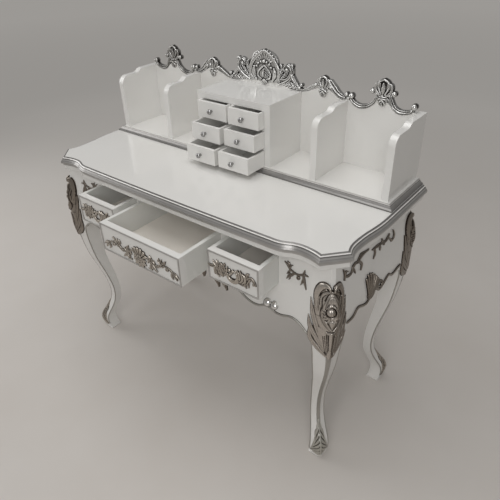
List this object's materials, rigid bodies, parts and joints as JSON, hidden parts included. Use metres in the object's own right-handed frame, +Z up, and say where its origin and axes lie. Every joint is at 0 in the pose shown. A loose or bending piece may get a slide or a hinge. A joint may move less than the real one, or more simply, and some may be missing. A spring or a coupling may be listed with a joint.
{
  "type": "bonheur du jour",
  "caption": "Lady's writing desk with cabriole legs, carved silvered ornament, drawers in the apron and a gallery of small drawers under a carved crest.",
  "frame": {"origin": "floor level, at the centre of the bounding box in the stored pose, with the drawers drawn out as pictured", "axes": "+Z up, the desk's front faces -Y, +X to the right of a person who faces the front"},
  "size_m": [1.136, 0.626, 1.099],
  "materials": {
    "ivory_lacquer": "gloss ivory lacquer",
    "silver_leaf": "silver leaf with a dark wash in the hollows",
    "bare_wood": "plain drawer wood",
    "bright_knob": "polished"
  },
  "bodies": {
    "carcass": {"back_apron": "ivory_lacquer", "crest_cartouche": "silver_leaf", "crest_finials": "silver_leaf", "crest_scrolls_left": "silver_leaf", "crest_scrolls_right": "silver_leaf", "desktop": "ivory_lacquer", "desktop_edge_moulding": "silver_leaf", "drawer_kickers": "bare_wood", "drawer_runners": "bare_wood", "drawer_stiles": "ivory_lacquer", "foot_carvings": "silver_leaf", "front_apron_ends": "ivory_lacquer", "front_carvings": "silver_leaf", "front_lower_apron": "ivory_lacquer", "front_top_rail": "ivory_lacquer", "gallery_back": "ivory_lacquer", "gallery_base": "ivory_lacquer", "gallery_base_moulding": "silver_leaf", "gallery_divider_left": "ivory_lacquer", "gallery_divider_right": "ivory_lacquer", "gallery_end_left": "ivory_lacquer", "gallery_end_right": "ivory_lacquer", "glue_blocks": "bare_wood", "knee_carvings": "silver_leaf", "leg_front_left": "ivory_lacquer", "leg_front_right": "ivory_lacquer", "leg_rear_left": "ivory_lacquer", "leg_rear_right": "ivory_lacquer", "side_apron_left": "ivory_lacquer", "side_apron_right": "ivory_lacquer", "side_carvings": "silver_leaf", "small_drawer_case_shelves": "ivory_lacquer", "small_drawer_case_sides": "ivory_lacquer", "small_drawer_case_top": "ivory_lacquer", "top_frame": "ivory_lacquer"},
    "left_drawer": {"left_drawer_carving": "silver_leaf", "left_drawer_front": "ivory_lacquer", "left_drawer_moulding": "silver_leaf", "left_drawer_tray": "bare_wood"},
    "centre_drawer": {"centre_drawer_carving": "silver_leaf", "centre_drawer_front": "ivory_lacquer", "centre_drawer_moulding": "silver_leaf", "centre_drawer_tray": "bare_wood"},
    "right_drawer": {"right_drawer_carving": "silver_leaf", "right_drawer_front": "ivory_lacquer", "right_drawer_moulding": "silver_leaf", "right_drawer_tray": "bare_wood"},
    "top_left_small_drawer": {"top_left_small_drawer": "ivory_lacquer", "top_left_small_drawer_knob": "bright_knob"},
    "top_right_small_drawer": {"top_right_small_drawer": "ivory_lacquer", "top_right_small_drawer_knob": "bright_knob"},
    "middle_left_small_drawer": {"middle_left_small_drawer": "ivory_lacquer", "middle_left_small_drawer_knob": "bright_knob"},
    "middle_right_small_drawer": {"middle_right_small_drawer": "ivory_lacquer", "middle_right_small_drawer_knob": "bright_knob"},
    "bottom_left_small_drawer": {"bottom_left_small_drawer": "ivory_lacquer", "bottom_left_small_drawer_knob": "bright_knob"},
    "bottom_right_small_drawer": {"bottom_right_small_drawer": "ivory_lacquer", "bottom_right_small_drawer_knob": "bright_knob"}
  },
  "joints": [
    {"name": "left_drawer_slide", "type": "slide", "parent": "carcass", "child": "left_drawer", "axis": [0, -1, 0], "range_m": [-0.093, 0.167]},
    {"name": "centre_drawer_slide", "type": "slide", "parent": "carcass", "child": "centre_drawer", "axis": [0, -1, 0], "range_m": [-0.165, 0.095]},
    {"name": "right_drawer_slide", "type": "slide", "parent": "carcass", "child": "right_drawer", "axis": [0, -1, 0], "range_m": [-0.085, 0.175]},
    {"name": "top_left_small_drawer_slide", "type": "slide", "parent": "carcass", "child": "top_left_small_drawer", "axis": [0, -1, 0], "range_m": [-0.024, 0.086]},
    {"name": "top_right_small_drawer_slide", "type": "slide", "parent": "carcass", "child": "top_right_small_drawer", "axis": [0, -1, 0], "range_m": [-0.028, 0.082]},
    {"name": "middle_left_small_drawer_slide", "type": "slide", "parent": "carcass", "child": "middle_left_small_drawer", "axis": [0, -1, 0], "range_m": [-0.059, 0.051]},
    {"name": "middle_right_small_drawer_slide", "type": "slide", "parent": "carcass", "child": "middle_right_small_drawer", "axis": [0, -1, 0], "range_m": [-0.051, 0.059]},
    {"name": "bottom_left_small_drawer_slide", "type": "slide", "parent": "carcass", "child": "bottom_left_small_drawer", "axis": [0, -1, 0], "range_m": [-0.088, 0.022]},
    {"name": "bottom_right_small_drawer_slide", "type": "slide", "parent": "carcass", "child": "bottom_right_small_drawer", "axis": [0, -1, 0], "range_m": [-0.083, 0.027]}
  ]
}
